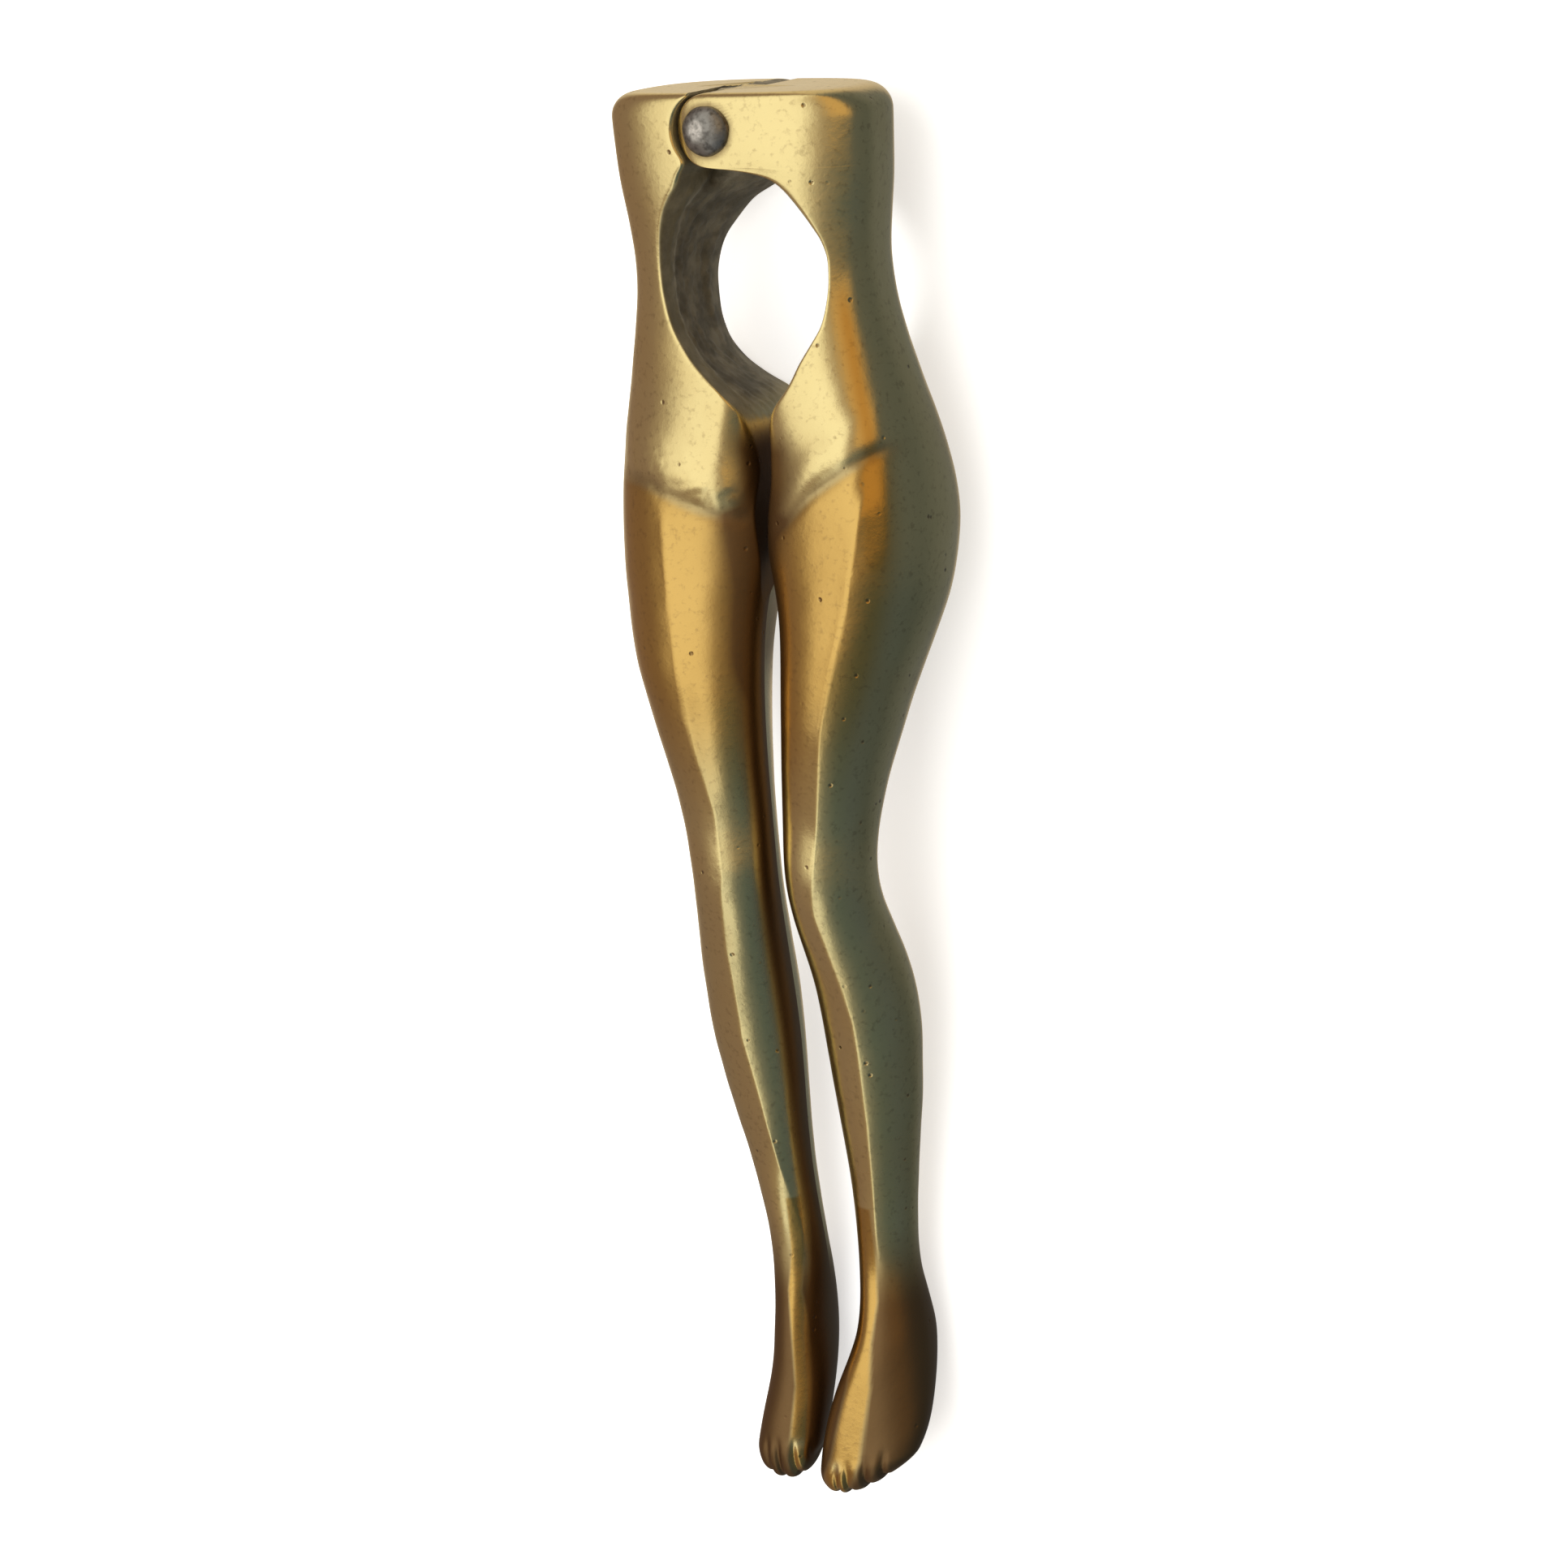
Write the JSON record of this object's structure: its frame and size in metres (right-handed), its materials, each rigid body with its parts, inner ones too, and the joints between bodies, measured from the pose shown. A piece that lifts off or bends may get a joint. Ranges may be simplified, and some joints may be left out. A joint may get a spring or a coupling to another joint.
{
  "type": "nutcracker",
  "caption": "Hand-held lever nutcracker cast as a pair of legs cut off at the waist. Two levers cross and are riveted at the waist, and a hollow between them takes the nut.",
  "frame": {"origin": "centre of the footprint of the closed tool lying on its back, on the plane that the buttocks and heels rest on", "axes": "+X the figure's left, +Y from the toes towards the flat top of the waist, +Z the figure's front and up as it lies; the rivet runs along Z"},
  "size_m": [0.0297, 0.127, 0.0196],
  "materials": {
    "right_lever": "cast brass, worn to a polish, with darker tarnish in the hollow and the creases",
    "left_lever": "cast brass, worn to a polish, with darker tarnish in the hollow and the creases",
    "rivet": "dull grey steel, hammered flat on the head"
  },
  "bodies": {
    "right_half": {"right_lever": "right_lever", "rivet": "rivet"},
    "left_half": {"left_lever": "left_lever"}
  },
  "joints": [
    {"name": "waist_hinge", "type": "hinge", "parent": "right_half", "child": "left_half", "pos_m": [-0.0016, 0.0604, 0.011], "axis": [0, 0, -1], "range_deg": [0, 55]}
  ]
}
